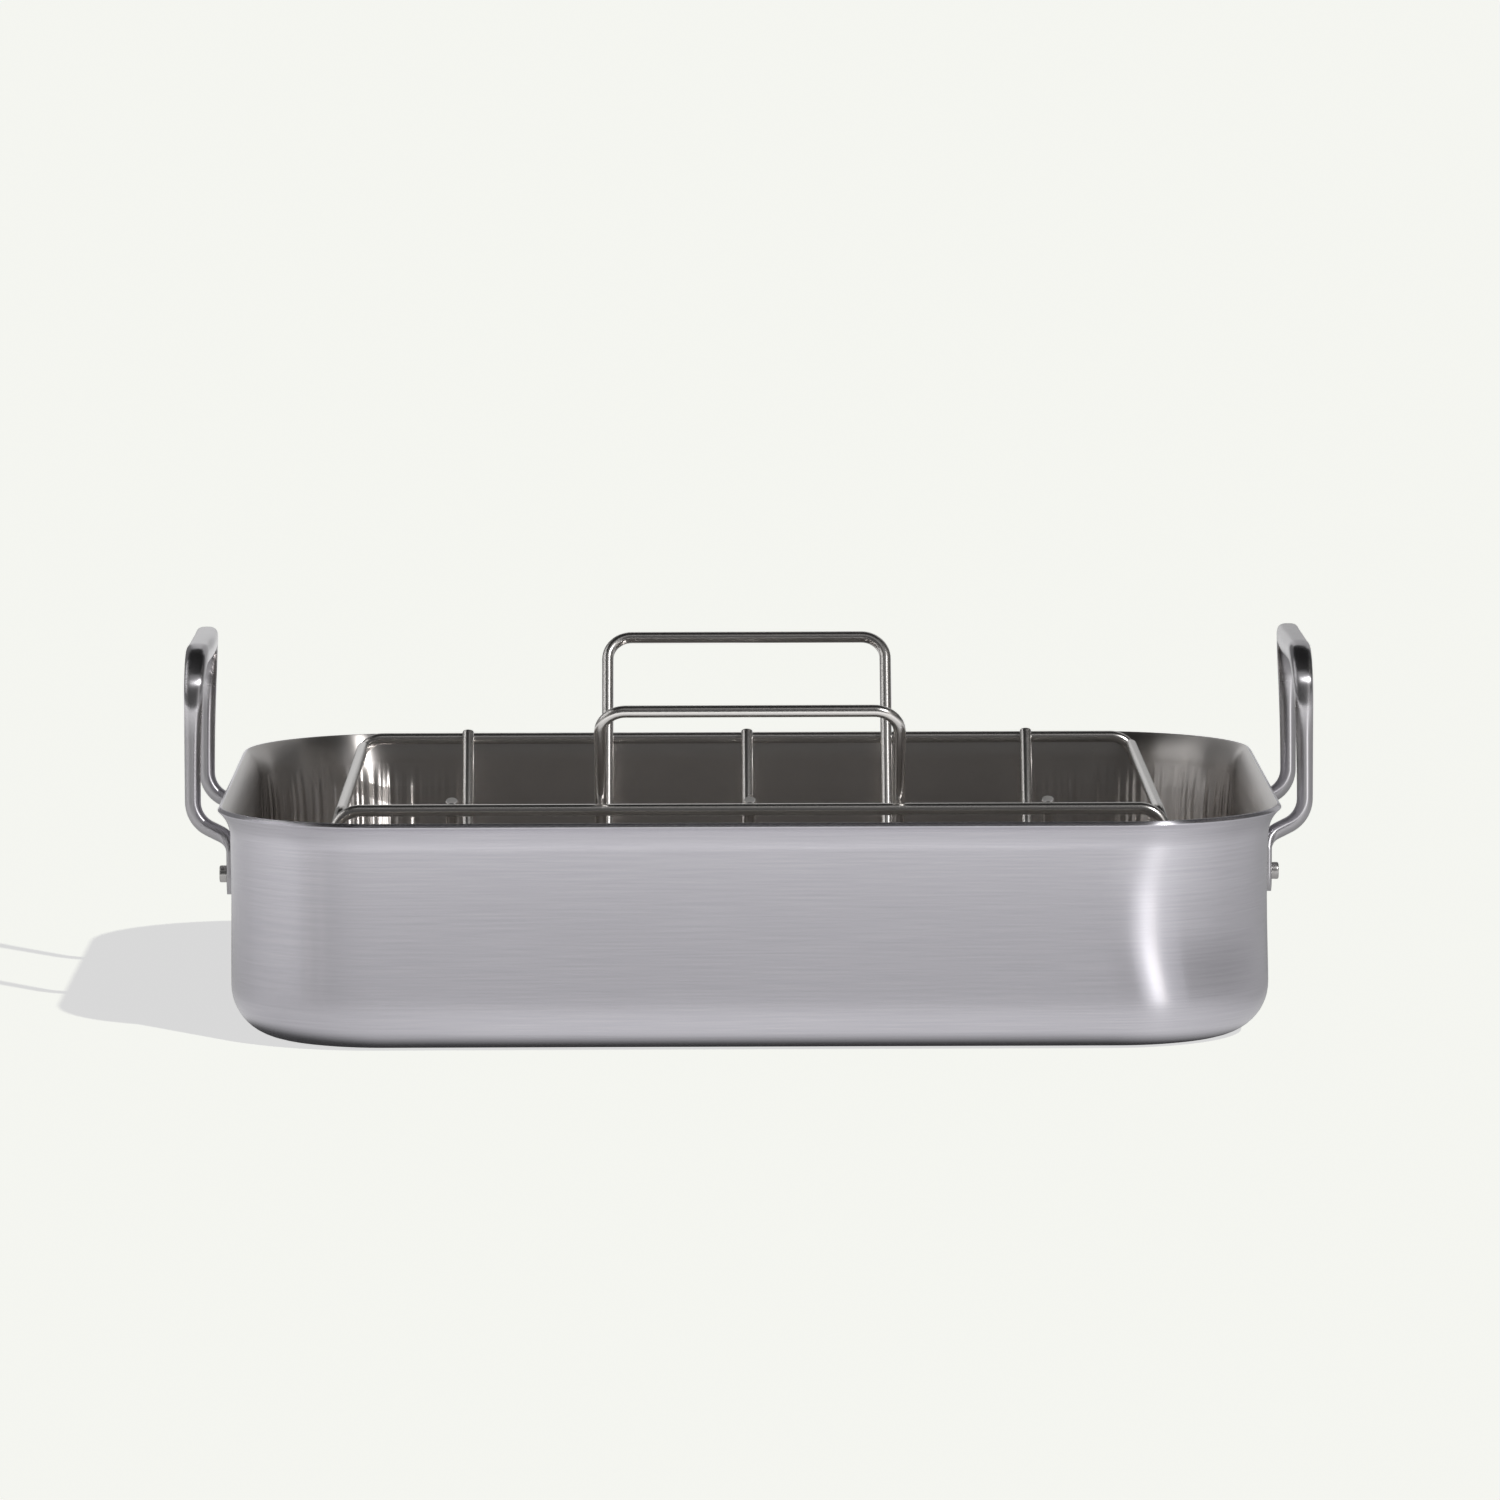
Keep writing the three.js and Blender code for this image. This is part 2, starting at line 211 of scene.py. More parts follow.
def piece(name, mesh, finishes, body, node):
    """Ends a bmesh as an object that rides on a body in place of a CAD node."""
    sharp_angle = math.radians(40)
    bmesh.ops.remove_doubles(mesh, verts=mesh.verts, dist=weld_distance)
    bmesh.ops.recalc_face_normals(mesh, faces=mesh.faces)
    data = bpy.data.meshes.new(name)
    mesh.to_mesh(data)
    mesh.free()
    for made in finishes:
        data.materials.append(made)
    data.shade_smooth()
    data.set_sharp_from_angle(angle=sharp_angle)
    made = bpy.data.objects.new(name, data)
    bpy.context.scene.collection.objects.link(made)
    made.visible_diffuse = False  # no stray glints on the floor
    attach(made, body)
    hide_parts(node)


floor_centre = (-floor_radius, floor_radius)
lip_centre = (lip_radius, lip_start)
lean = math.radians(180 - lip_turn)
under_corner, upper_corner = [
    (lip_centre[0] + radius * math.cos(lean), lip_centre[1] + radius * math.sin(lean))
    for radius in (lip_radius + edge_break, lip_radius + sheet - edge_break)]
outside, inside, cut_edge = 0, 1, 2
wall_heights = [floor_radius + (lip_start - floor_radius) * ring / wall_rings
                for ring in range(1, wall_rings)]
outer_face = (arc(floor_centre, floor_radius, -90, 90, arc_steps) + [wall(0, up) for up in wall_heights]
              + arc(lip_centre, lip_radius, 180, -lip_turn, arc_steps))
lip_edge = arc(under_corner, edge_break, -lip_turn, 90, edge_steps)
lip_edge += arc(upper_corner, edge_break, 90 - lip_turn, 90, edge_steps)
inner_face = (arc(lip_centre, lip_radius + sheet, 180 - lip_turn, lip_turn, arc_steps)
              + [wall(-sheet, up) for up in reversed(wall_heights)]
              + arc(floor_centre, floor_radius - sheet, 0, -90, arc_steps))

tray = bmesh.new()
for outline, side in ((outer_face, outside), (lip_edge, cut_edge), (inner_face, inside)):
    tray_skin(tray, outline, side)
for axis in "XY":
    whole = tray.verts[:] + tray.edges[:] + tray.faces[:]
    bmesh.ops.mirror(tray, geom=whole, matrix=Matrix.Identity(4), merge_dist=weld_distance, axis=axis)
bmesh.ops.remove_doubles(tray, verts=tray.verts, dist=weld_distance)
for height, side in ((0, outside), (sheet, inside)):
    brim = [edge for edge in tray.edges if edge.is_boundary
            and all(abs(vert.co.z - height) < sheet / 2 for vert in edge.verts)]
    filled = bmesh.ops.edgeloop_fill(tray, edges=brim, mat_nr=side)["faces"]
    bmesh.ops.inset_region(tray, faces=filled, thickness=floor_border, use_even_offset=True)
for vert in tray.verts:
    out = Vector((abs(vert.co.x), abs(vert.co.y), 0)) - corner
    front_left = vert.co.x < 0 and vert.co.y < 0
    if not front_left and min(out.x, out.y) > -weld_distance and out.length > corner_radius / 2:
        height = vert.co.z / lip_start
        ease_full = ease_full_front if vert.co.y < 0 else ease_full_back
        ease = eased_by * eased(height, ease_start, ease_full) * (1 - eased(height, ease_wane, ease_end))
        turn = out.normalized()
        vert.co.x -= math.copysign(ease * (1 - turn.x), vert.co.x)
        vert.co.y -= math.copysign(ease * (1 - turn.y), vert.co.y)
brushed = brushed_steel()
polished = polished_steel()
piece("drawn_pan", tray, (brushed, polished, brushed), "pan", "pan_body")

# Pan handles: one stainless rod each, bent into an upright loop, swelled to a fuller grip on top and
# forged flat at both ends. The feet lie on the end walls, and the rod is polished all over.
handle_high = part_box("right_handle")[1]
rivet_low, rivet_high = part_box("right_front_rivet")
leg_diameter = 6.4 * mm
grip_width = 10 * mm
grip_depth = 10.5 * mm
grip_bend = 20 * mm
buff_start = 34 * mm  # below the grip's middle, where the buffing starts to turn from round the leg
buff_full = 14 * mm  # and where it runs wholly lengthwise
grip_rounding = 0.58  # of the grip's section: 1 is an ellipse, 0 a rectangle
neck_height = 71.9 * mm  # where the neck leaves the wall
neck_slope = math.radians(27)
neck_bend = 7.5 * mm
knee_bend = 12 * mm
foot_width = 16.5 * mm
foot_thickness = 3.8 * mm
foot_rounding = 0.45
handle_step = 1.6 * mm  # between rings along a handle
handle_sides = 40

rivet_y = -(rivet_low.y + rivet_high.y) / 2
rivet_z = (rivet_low.z + rivet_high.z) / 2
foot_x = half_length + foot_thickness / 2
leg_x = handle_high.x - leg_diameter / 2
leg_y = rivet_y
grip_z = handle_high.z - grip_depth / 2
knee_z = neck_height + (leg_x - foot_x) * math.tan(neck_slope)
foot_end = foot_width / 2


def rounded(corners, step):
    """Points along a path, no further apart than a step, with each (corner, bend) rounded to its bend."""
    points = []
    for number, (at, bend) in enumerate(corners):
        if not bend:
            points.append(at)
            continue
        back = (corners[number - 1][0] - at).normalized()
        ahead = (corners[number + 1][0] - at).normalized()
        half = back.angle(ahead) / 2
        centre = at + (back + ahead).normalized() * bend / math.sin(half)
        spoke = at + back * bend / math.tan(half) - centre
        turn = math.pi - 2 * half
        count = math.ceil(bend * turn / step) + 2
        points += [centre + Matrix.Rotation(turn * part / count, 3, ahead.cross(back)) @ spoke
                   for part in range(count + 1)]
    path = points[:1]
    for start, end in zip(points, points[1:]):
        count = math.ceil((end - start).length / step)
        path += [start.lerp(end, part / count) for part in range(1, count + 1)]
    return path


def handle_section(point):
    """The rod's section at a point of its path: flat at the foot, round in the leg, and fuller in the
    grip, which grows towards the pan. Gives half width, half depth, inset and rounding."""
    leg = leg_diameter / 2
    leg_foot = knee_z + knee_bend / 2
    neck_start = neck_height - neck_bend / 2
    flat = 1 - eased(point.z, neck_start, neck_start + leg_diameter)
    full = eased((point.z - leg_foot) + (leg_y - abs(point.y)), 0, (grip_z - leg_foot) + leg_y)
    below = max(0, rivet_z - point.z)
    foot_half = math.sqrt(max(foot_end ** 2 - below ** 2, 0))
    inset = full * (grip_width / 2 - leg)
    out = leg + inset + flat * (foot_thickness / 2 - leg)
    along = leg + flat * (foot_half - leg) + full * (grip_depth / 2 - leg)
    square = eased(full, 0.1, 0.45) * (1 - 0.6 * eased(full, 0.65, 0.95))
    rounding = 1 + flat * (foot_rounding - 1) + square * (grip_rounding - 1)
    return out, along, inset, rounding


def loop_handle():
    """The right-hand handle as a bmesh: rings along its path, bridged one to the next."""
    tip_steps = 10
    tip = [foot_end * math.cos(math.pi / 2 * step / tip_steps) for step in range(1, tip_steps)]
    half = [(Vector((foot_x, -leg_y, rivet_z)), 0), (Vector((foot_x, -leg_y, neck_height)), neck_bend),
            (Vector((leg_x, -leg_y, knee_z)), knee_bend), (Vector((leg_x, -leg_y, grip_z)), grip_bend)]
    across = Vector((1, -1, 1))
    whole = half + [(at * across, bend) for at, bend in reversed(half)]
    drop = [Vector((foot_x, -leg_y, rivet_z - low)) for low in tip]
    path = drop + rounded(whole, handle_step) + [at * across for at in reversed(drop)]
    mesh = bmesh.new()
    along_at = mesh.verts.layers.float.new("along")
    round_at = mesh.verts.layers.float.new("round")
    grip_at = mesh.verts.layers.float.new("grip")
    way, axis, last = None, Vector((1, 0, 0)), None
    for number, point in enumerate(path):
        before = path[max(number - 1, 0)]
        after = path[min(number + 1, len(path) - 1)]
        new_way = (after - before).normalized()
        if way:
            axis = way.rotation_difference(new_way) @ axis
        way = new_way
        side = way.cross(axis)
        out, along, inset, rounding = handle_section(point)
        ring = bmesh.ops.create_circle(mesh, segments=handle_sides, radius=1)["verts"]
        for vert in ring:
            vert[along_at] = number * handle_step / leg_diameter
            vert[round_at] = math.atan2(vert.co.y, vert.co.x)
            vert[grip_at] = eased(point.z, grip_z - buff_start, grip_z - buff_full)
            u, v = [math.copysign(abs(share) ** rounding, share) for share in vert.co.xy]
            vert.co = point + axis * (out * u - inset) + side * (along * v)
        edges = list({edge for vert in ring for edge in vert.link_edges})
        if last:
            bmesh.ops.bridge_loops(mesh, edges=last + edges)
        else:
            bmesh.ops.contextual_create(mesh, geom=edges)
        last = edges
    bmesh.ops.contextual_create(mesh, geom=last)
    lengthwise = mesh.loops.layers.uv.new("lengthwise")
    crosswise = mesh.loops.layers.uv.new("crosswise")
    for face in mesh.faces:
        for loop in face.loops:
            lay = loop.vert[along_at], loop.vert[round_at]
            loop[lengthwise].uv = lay
            loop[crosswise].uv = lay[::-1]
    return mesh


def handle_steel():
    """Polished stainless rod: buffed lengthwise in the grip, which spreads highlights across it, and round
    the legs, which spreads them up and down. The real marks are finer than 0.1 mm, drawn at about 0.7 mm."""
    grain_size = 0.7 * mm
    made, tree = finish("polished_forged_steel")
    place = add(tree, "TexCoord").outputs["Object"]
    grain = add(tree, "TexNoise", Vector=place, Scale=1 / grain_size, Detail=2, Roughness=0.5).outputs[0]
    steels = []
    for spread, low, high in (("lengthwise", 0.37, 0.39), ("crosswise", 0.24, 0.27)):
        rough = add(tree, "MapRange", Value=grain, From_Min=0.3, From_Max=0.7, To_Min=low, To_Max=high)
        lay = add(tree, "Tangent", {"direction_type": "UV_MAP", "uv_map": spread})
        steels.append(add(tree, "BsdfPrincipled", Base_Color=linear("C3C1C4"), Metallic=1, Anisotropic=0.92,
                          Roughness=rough.outputs[0], Tangent=lay.outputs[0]).outputs[0])
    grip = add(tree, "Attribute", {"attribute_name": "grip"}).outputs["Fac"]
    both = add(tree, "MixShader", Fac=grip, _1=steels[0], _2=steels[1])
    add(tree, "OutputMaterial", Surface=both.outputs[0])
    return made


rod = handle_steel()
half_turn = Matrix.Rotation(math.pi, 4, "Z")
for side in ("right", "left"):
    loop = loop_handle()
    if side == "left":
        bmesh.ops.transform(loop, matrix=half_turn, verts=loop.verts)
    piece(f"{side}_loop_handle", loop, (rod,), "pan", f"{side}_handle")

# Rivets: solid stainless, one through each foot and the wall behind it. The low head is inside the pan,
# and the short tail was set square on the foot, with its rim broken.
shank_diameter = 5 * mm
tail_diameter = 6.8 * mm
head_diameter = 10 * mm
rim_break = 0.6 * mm
rim_steps = 4
rivet_sides = 48


def set_rivet():
    """The right-hand front rivet as a bmesh: its outline spun round its axis."""
    inner_wall = half_length - sheet
    foot_top = half_length + foot_thickness
    centre = Vector((0, -rivet_y, rivet_z))
    head = [(-radius, along) for radius, along in
            arc((rim_break - head_diameter / 2, 0), rim_break, 180, -90, rim_steps)]
    outline = [(rivet_low.x, 0)]
    outline += [(rivet_low.x + rim_break - lift, out) for out, lift in reversed(head)]
    outline += [(inner_wall, head_diameter / 2), (inner_wall, shank_diameter / 2)]
    outline += [(foot_top, shank_diameter / 2), (foot_top, tail_diameter / 2)]
    tail = arc((rivet_high.x - rim_break, tail_diameter / 2 - rim_break), rim_break, 90, -90, rim_steps)
    outline += tail + [(rivet_high.x, 0)]
    mesh = bmesh.new()
    verts = [mesh.verts.new(centre + Vector((along, 0, out))) for along, out in outline]
    edges = [mesh.edges.new(pair) for pair in zip(verts, verts[1:])]
    bmesh.ops.spin(mesh, geom=verts + edges, cent=centre, axis=(1, 0, 0), angle=2 * math.pi,
                   steps=rivet_sides, use_merge=True)
    return mesh


def rivet_steel():
    """Turned stainless steel: satin, a little uneven where it was struck."""
    grain_size = 0.5 * mm
    made, tree = finish("struck_stainless_steel")
    place = add(tree, "TexCoord").outputs["Object"]
    grain = add(tree, "TexNoise", Vector=place, Scale=1 / grain_size, Detail=3, Roughness=0.6).outputs[0]
    rough = add(tree, "MapRange", Value=grain, From_Min=0.3, From_Max=0.7, To_Min=0.24, To_Max=0.36)
    relief = add(tree, "Bump", Strength=0.2, Distance=0.05 * mm, Height=grain)
    steel = add(tree, "BsdfPrincipled", Base_Color=linear("C4C2C0"), Metallic=1, Roughness=rough.outputs[0],
                Normal=relief.outputs[0])
    add(tree, "OutputMaterial", Surface=steel.outputs[0])
    return made


struck = rivet_steel()
across = Matrix.Diagonal((1, -1, 1, 1))
for side, end, turns in (("right", "front", ()), ("right", "back", (across,)),
                         ("left", "back", (half_turn,)), ("left", "front", (across, half_turn))):
    rivet = set_rivet()
    for turn in turns:
        bmesh.ops.transform(rivet, matrix=turn, verts=rivet.verts)
    piece(f"{side}_{end}_set_rivet", rivet, (struck,), "pan", f"{side}_{end}_rivet")

# Rack ring: the rack's frame, one round stainless wire bent to a rectangle and butt-welded. It lies level
# with the pan's lip and dips at each corner. The small beads are the welds to the wires that cross it.
ring_low, ring_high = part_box("rack_ring")
lift_low, lift_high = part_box("rack_handle_wire")
wire = 4.8 * mm
rail_bend = 10 * mm  # where a long rail turns down into a corner
dip_turn = 4 * mm  # at the bottom of a corner's dip
dip_bend = 8 * mm  # where the dip comes up into an end rail
dip_start = 1.9 * mm  # of a rail's corner past the ring's straight side
dip_depth = 17 * mm
dip_run = 12.3 * mm  # from a long rail to where the dip meets the end rail
dip_out = 6.4 * mm  # of the dip's bottom past the ring's straight side
end_rail_out = 2.1 * mm  # of an end rail past the CAD's
end_rail_drop = 2 * mm  # of an end rail below the long rails
wire_sides = 24
bend_steps = 14
weld_gap = 0.3 * mm
rack_lean = math.radians(30)  # of the rack's sides away from upright

ring_x = ring_high.x - wire / 2
ring_y = ring_high.y - wire / 2
ring_z = (ring_low.z + ring_high.z) / 2
weld_y = ring_y - (wire + weld_gap) * math.cos(rack_lean)
weld_z = ring_z + (wire + weld_gap) * math.sin(rack_lean)
wire_places = {name: (low.x + high.x) / 2 for name, (low, high) in
               ((name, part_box(f"rack_{name}_wire")) for name in ("left", "centre", "right"))}
lift_x = lift_high.x - wire / 2
end_rail_x = ring_x + end_rail_out
end_rail_z = ring_z - end_rail_drop
dip_x = ring_x + dip_out
dip_z = ring_z - dip_depth


def parts(geometry, kind):
    """The verts or the edges among the geometry that an operator gives back."""
    return [part for part in geometry if isinstance(part, kind)]


def bent_wire(mesh, corners, closed):
    """Round wire as a bender makes it: a circle drawn along each straight run and spun round each
    (corner, bend). Gives the edges of its first and last circle."""
    points = [at for at, bend in corners]
    start = (points[-1] + points[0]) / 2 if closed else points[0]
    bends = corners if closed else corners[1:-1]
    first = 0 if closed else 1
    way = (points[first] - start).normalized()
    facing = Matrix.Translation(start) @ way.to_track_quat("Z", "X").to_matrix().to_4x4()
    ring = bmesh.ops.create_circle(mesh, segments=wire_sides, radius=wire / 2, matrix=facing)["verts"]
    edges = list({edge for vert in ring for edge in vert.link_edges})
    begin = edges
    here = start

    def draw_on(edges, step):
        """Draws a circle's edges on by a step, and gives those of the new circle."""
        drawn = bmesh.ops.extrude_edge_only(mesh, edges=edges)["geom"]
        verts = parts(drawn, bmesh.types.BMVert)
        bmesh.ops.translate(mesh, vec=step, verts=verts)
        return [edge for edge in parts(drawn, bmesh.types.BMEdge)
                if all(vert in verts for vert in edge.verts)]

    for number, (at, bend) in enumerate(bends, first):
        back = (points[number - 1] - at).normalized()
        ahead = (points[(number + 1) % len(points)] - at).normalized()
        half = back.angle(ahead) / 2
        edges = draw_on(edges, at + back * bend / math.tan(half) - here)
        verts = list({vert for edge in edges for vert in edge.verts})
        centre = at + (back + ahead).normalized() * bend / math.sin(half)
        spun = bmesh.ops.spin(mesh, geom=verts + edges, cent=centre, axis=ahead.cross(back),
                              angle=math.pi - 2 * half, steps=bend_steps)
        edges = parts(spun["geom_last"], bmesh.types.BMEdge)
        here = at + ahead * bend / math.tan(half)
    edges = draw_on(edges, (start if closed else points[-1]) - here)
    return begin, edges


def wire_steel():
    """Drawn stainless wire, electropolished: bright, with the fine pits and draw lines that the polish
    leaves. The real pits are about 0.1 mm, drawn here at about 0.5 mm to show."""
    pit_size = 0.5 * mm
    made, tree = finish("electropolished_wire")
    place = add(tree, "TexCoord").outputs["Object"]
    pits = add(tree, "TexNoise", Vector=place, Scale=1 / pit_size, Detail=2, Roughness=0.6).outputs[0]
    rough = add(tree, "MapRange", Value=pits, From_Min=0.3, From_Max=0.7, To_Min=0.19, To_Max=0.27)
    relief = add(tree, "Bump", Strength=0.12, Distance=0.05 * mm, Height=pits)
    steel = add(tree, "BsdfPrincipled", Base_Color=linear("D9D6D3"), Metallic=1, Roughness=rough.outputs[0],
                Normal=relief.outputs[0])
    add(tree, "OutputMaterial", Surface=steel.outputs[0])
    return made


def weld_bead(mesh, x, side):
    """A flat bead between the ring and a crossing wire, squeezed out along both."""
    bead_along = 2.1 * mm
    bead_across = 1.5 * mm
    bead_through = 1.7 * mm
    middle = Vector((x, side * (ring_y + weld_y) / 2, (ring_z + weld_z) / 2))
    turned = Matrix.Rotation(-rack_lean, 4, "X")
    shape = Matrix.Diagonal((bead_along, bead_through, bead_across, 1))
    bmesh.ops.create_uvsphere(mesh, u_segments=20, v_segments=12, radius=1,
                              matrix=Matrix.Translation(middle) @ turned @ shape)


bright = wire_steel()
ring = bmesh.new()
turns = []
for x, y in ((1, 1), (-1, 1), (-1, -1), (1, -1)):
    dip = [(Vector((x * at, y * along, up)), bend) for at, along, up, bend in (
        (end_rail_x, ring_y - dip_run, end_rail_z, dip_bend), (dip_x, ring_y, dip_z, dip_turn),
        (ring_x + dip_start, ring_y, ring_z, rail_bend))]
    turns += dip if x == y else dip[::-1]
bent_wire(ring, turns, closed=True)
for x in list(wire_places.values()) + [-lift_x, lift_x]:
    for side in (-1, 1):
        weld_bead(ring, x, side)
piece("rack_frame", ring, (bright,), "rack", "rack_ring")

# Cross wires: three lengths of the same wire bent to a flat-bottomed V and welded inside the ring. Their
# sheared ends stand just above it.
cradle_bend = 13 * mm
end_break = 0.5 * mm
end_rise = 1 * mm  # of a sheared end past its weld
bottom_z = lift_low.z + wire / 2


def side_y(z):
    """How far from the middle the rack's leaning side is at a height."""
    return weld_y + (z - weld_z) * math.tan(rack_lean)


def cross_wire(x):
    """A cross wire as a bmesh, with its two ends capped and their rims broken."""
    mesh = bmesh.new()
    end_z = weld_z + end_rise * math.cos(rack_lean)
    run = [(-side_y(end_z), end_z, 0), (-side_y(bottom_z), bottom_z, cradle_bend),
           (side_y(bottom_z), bottom_z, cradle_bend), (side_y(end_z), end_z, 0)]
    for edges in bent_wire(mesh, [(Vector((x, y, z)), bend) for y, z, bend in run], closed=False):
        cap = bmesh.ops.contextual_create(mesh, geom=edges)["faces"]
        cap[0].material_index = 1
        bmesh.ops.bevel(mesh, geom=cap[0].edges[:], offset=end_break, segments=3, profile=0.5, affect="EDGES",
                        material=-1)
    return mesh


def sheared_steel():
    """The torn face that shears leave on wire: dull and pale."""
    made, tree = finish("sheared_steel")
    steel = add(tree, "BsdfPrincipled", Base_Color=linear("DEDCDA"), Metallic=1, Roughness=0.6)
    add(tree, "OutputMaterial", Surface=steel.outputs[0])
    return made


sheared = sheared_steel()
for name, x in wire_places.items():
    piece(f"{name}_cross_wire", cross_wire(x), (bright, sheared), "rack", f"rack_{name}_wire")

# Lifting wire: one closed wire that crosses the floor twice and stands up over the long sides as the
# rack's two handles. It is welded to the ring where it passes it.
lift_bend = 10 * mm
bar_z = lift_high.z - wire / 2
bar_y = lift_high.y - wire / 2

lifter = bmesh.new()
legs = []
for x, way in ((lift_x, 1), (-lift_x, -1)):
    run = [(-bar_y, bar_z, lift_bend), (-side_y(bottom_z), bottom_z, cradle_bend),
           (side_y(bottom_z), bottom_z, cradle_bend), (bar_y, bar_z, lift_bend)]
    legs += [(Vector((x, way * y, z)), bend) for y, z, bend in run]
bent_wire(lifter, legs, closed=True)
piece("lifting_wire", lifter, (bright,), "rack", "rack_handle_wire")

# Floor: a wide pale sheet that the pan stands on, the same colour to every edge of the picture. It glows
# evenly for the camera, so the key lamp's shadow is all that shades it, and the metal sees a stand-in for it.
floor_size = 40  # metres
floor_mesh = bmesh.new()
bmesh.ops.create_grid(floor_mesh, x_segments=1, y_segments=1, size=floor_size / 2)
floor_data = bpy.data.meshes.new("floor")
floor_mesh.to_mesh(floor_data)
floor_mesh.free()
floor = bpy.data.objects.new("floor", floor_data)
bpy.context.scene.collection.objects.link(floor)
pale, tree = finish("pale_paper")
seen = add(tree, "LightPath").outputs["Is Camera Ray"]
# The lit colour is warm: the key lamp's warm tint is painted into the floor, while the lamp itself is white.
lit = add(tree, "BsdfDiffuse", Color=(0.87, 0.9, 0.73, 1))
even = add(tree, "Emission", Color=(0.69, 0.69, 0.69, 1), Strength=seen)
paper = add(tree, "AddShader", _0=lit.outputs[0], _1=even.outputs[0])
add(tree, "OutputMaterial", Surface=paper.outputs[0])
floor_data.materials.append(pale)
floor.visible_glossy = False

# Light: one small hard lamp high on the right in front, which casts the shadow and draws the bright lines,
# and a grey room of dark and pale cards round a stand-in floor, which only the metal sees.
key_way = Vector((0.78, -0.95, 1))  # from the pan to the lamp
key_strength = 1.26
key_spread = math.radians(1)  # of its disc
card_distance = 2.5  # metres
bar_distance = 2.4  # metres, for what stands in front of the cards
bar_width = 2  # degrees
slit_tint = (1, 0.94, 0.86)
room = bpy.data.worlds.new("grey_room")
room.use_nodes = True
room.node_tree.nodes.clear()
room.cycles.sampling_method = "NONE"
reflected = add(room.node_tree, "LightPath").outputs["Is Glossy Ray"]
air = add(room.node_tree, "Background", Color=(0.5, 0.5, 0.51, 1), Strength=reflected)
add(room.node_tree, "OutputWorld", Surface=air.outputs[0])
bpy.context.scene.world = room

lamp = bpy.data.lights.new("key_lamp", "SUN")
lamp.energy = key_strength
lamp.angle = key_spread
key = bpy.data.objects.new("key_lamp", lamp)
key.rotation_mode = "QUATERNION"
key.rotation_quaternion = (-key_way).to_track_quat("-Z", "Y")
bpy.context.scene.collection.objects.link(key)


def reflector(name, mesh, colour, strength):
    """Ends a bmesh as a card that only reflections show, glowing in a colour or a linked colour."""
    data = bpy.data.meshes.new(name)
    mesh.to_mesh(data)
    mesh.free()
    made, tree = finish(name)
    glow = add(tree, "Emission", Strength=strength)
    if callable(colour):
        tree.links.new(colour(tree), glow.inputs["Color"])
    else:
        glow.inputs["Color"].default_value = colour
    add(tree, "OutputMaterial", Surface=glow.outputs[0])
    data.materials.append(made)
    board = bpy.data.objects.new(name, data)
    for seen in ("camera", "diffuse", "transmission", "volume_scatter", "shadow"):
        setattr(board, "visible_" + seen, False)
    bpy.context.scene.collection.objects.link(board)


def curved_card(start, end, low, high, distance):
    """A bmesh of part of a sphere round the pan, between two headings and two elevations. Angles are in
    degrees, headings from the camera's side towards the right."""
    mesh = bmesh.new()
    steps = 24
    begin = math.radians(start - 90)
    arc_points = arc((0, 0), distance, low, high - low, steps)
    verts = [mesh.verts.new((out * math.cos(begin), out * math.sin(begin), up)) for out, up in arc_points]
    edges = [mesh.edges.new(pair) for pair in zip(verts, verts[1:])]
    bmesh.ops.spin(mesh, geom=verts + edges, cent=(0, 0, 0), axis=(0, 0, 1), angle=math.radians(end - start),
                   steps=steps)
    return mesh


def grey(value):
    """The colour of a neutral grey, in linear light."""
    return (value, value, value, 1)


for name, value, start, end, low, high in (
        ("front_left_card", 0.08, -64, -25, -15, 50), ("front_card", 0.08, -25, 25, -15, 50),
        ("low_right_card", 0.42, 57, 140, -15, 9), ("right_card", 0.08, 57, 140, 9, 50),
        ("low_left_card", 0.32, -112, -64, -15, 14), ("window_card", 1.3, -112, -64, 14, 50),
        ("left_card", 0.2, -163, -112, -15, 50), ("back_right_card", 0.45, 140, 178, -15, 50),
        ("back_left_card", 0.66, 178, 197, -15, 50), ("ceiling_card", 0.02, -180, 180, 50, 90)):
    reflector(name, curved_card(start, end, low, high, card_distance), grey(value), 1)
reflector("high_front_card", curved_card(-30, 30, 48, 60, bar_distance), grey(0.32), 1)
# Bars across the window card and pale slits between the others streak the polished corners.
for heading in range(-108, -64, 5):
    bar = curved_card(heading - bar_width / 2, heading + bar_width / 2, 2, 50, bar_distance)
    reflector(f"window_bar_{-heading}", bar, grey(0.05), 1)
for number, (heading, width, strength, low) in enumerate((
        (-58, 2, 0.6, 2), (-48, 0.8, 1, 2), (39.4, 3, 1.5, 2), (68, 0.8, 1.2, 24), (79, 0.8, 1.2, 24),
        (90, 0.8, 1.2, 24), (103, 0.8, 1.2, 24))):
    slit = curved_card(heading - width / 2, heading + width / 2, low, 48, bar_distance)
    reflector(f"upright_{number}", slit, [strength * share for share in slit_tint] + [1], 1)


